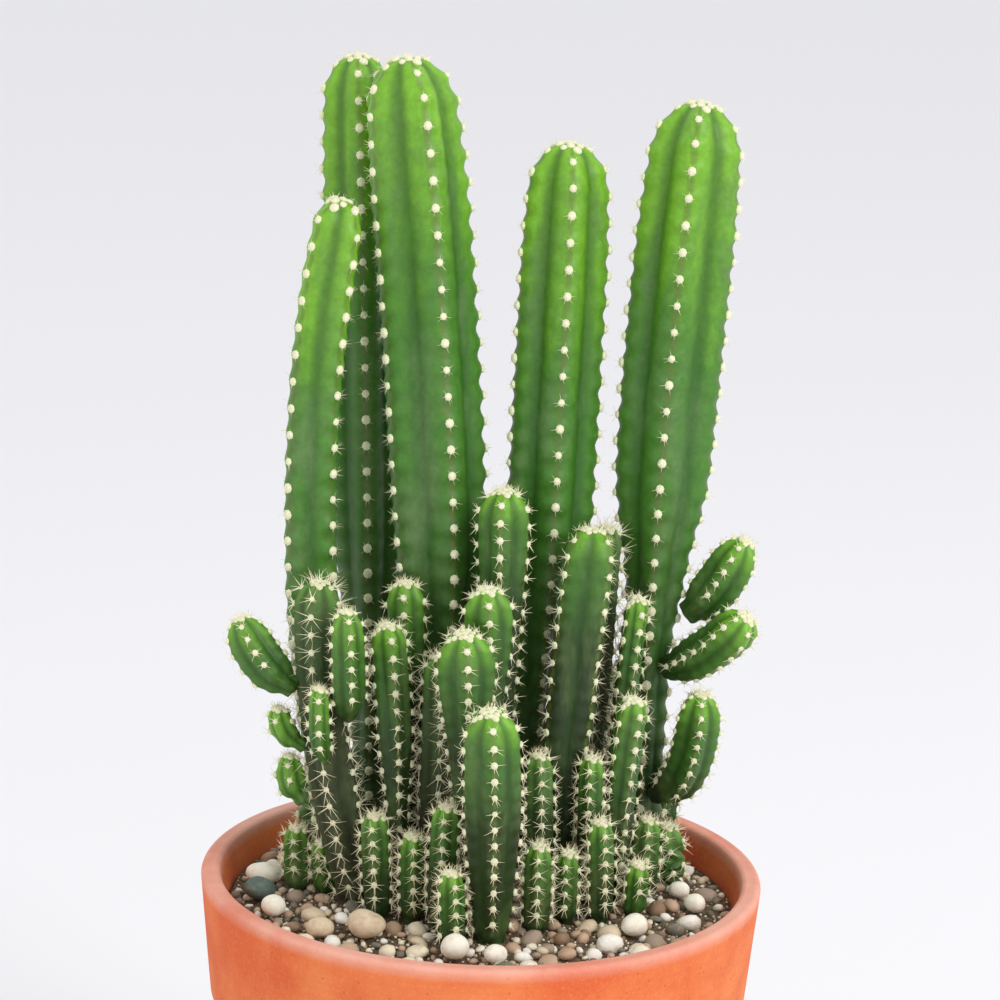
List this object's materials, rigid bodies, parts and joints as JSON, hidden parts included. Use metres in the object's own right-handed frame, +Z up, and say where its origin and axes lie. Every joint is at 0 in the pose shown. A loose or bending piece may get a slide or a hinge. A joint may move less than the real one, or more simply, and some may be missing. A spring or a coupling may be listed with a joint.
{
  "type": "potted tall cactus",
  "caption": "Clump of upright ribbed columnar cactus stems with spiny offsets, rooted in pebble-topped soil in a collared terracotta pot.",
  "frame": {"origin": "on the pot's axis, on the plane that the pot stands on", "axes": "+Z up along the pot's axis; -Y towards the side with the front offsets; +X to the right seen from that side"},
  "size_m": [0.14, 0.14, 0.326],
  "materials": {
    "terracotta": "matte",
    "potting_soil": "matte",
    "mature_skin": "satin",
    "young_skin": "satin",
    "corky_skin": "matte",
    "pale_pebble": "matte",
    "tan_pebble": "matte",
    "slate_pebble": "matte"
  },
  "bodies": {
    "root": {"pot": "terracotta", "soil": "potting_soil", "column_rear_left": "mature_skin", "column_centre": "mature_skin", "column_front_left": "mature_skin", "column_middle_right": "mature_skin", "column_right": "mature_skin", "stem_centre_high": "young_skin", "stem_centre_mid": "young_skin", "stem_centre_low": "young_skin", "stem_front": "young_skin", "stem_right_tall": "young_skin", "stem_right_slender": "young_skin", "stem_right_front": "young_skin", "stem_right_rear": "corky_skin", "stem_old_left": "corky_skin", "stem_left_mid": "young_skin", "stem_left_rear": "young_skin", "stem_old_middle": "corky_skin", "arm_right_upper": "young_skin", "arm_right_lower": "young_skin", "arm_right_base": "young_skin", "arm_left": "young_skin", "shoot_left_front": "young_skin", "shoot_left_small": "young_skin", "bud_left_upper": "young_skin", "bud_left_lower": "young_skin", "offset_right_round": "young_skin", "offset_front_right": "young_skin", "offset_right_spiny": "young_skin", "offset_front_left": "young_skin", "offset_front_small": "young_skin", "offset_left_front": "young_skin", "offset_left_spiny": "young_skin", "offset_front_bud": "young_skin", "offset_front_chick": "young_skin", "offset_right_bud": "young_skin", "offset_right_low": "young_skin", "offset_right_outer": "young_skin", "offset_left_low": "young_skin", "offset_left_foot": "young_skin", "offset_left_outer": "young_skin", "offset_rear_left": "young_skin", "offset_rear_low": "young_skin", "offset_rear_middle": "young_skin", "offset_rear_bud": "young_skin", "offset_rear_right": "young_skin", "offset_rear_corner": "young_skin", "pebble_left_white": "pale_pebble", "pebble_left_slate": "slate_pebble", "pebble_left_cream": "pale_pebble", "pebble_rear_left_long": "pale_pebble", "pebble_left_pink": "tan_pebble", "pebble_front_left_tan": "tan_pebble", "pebble_front_left_big": "tan_pebble", "pebble_front_white": "pale_pebble", "pebble_front_cream": "pale_pebble", "pebble_front_right_cream": "pale_pebble", "pebble_right_white": "pale_pebble", "pebble_right_edge": "pale_pebble"}
  },
  "joints": []
}
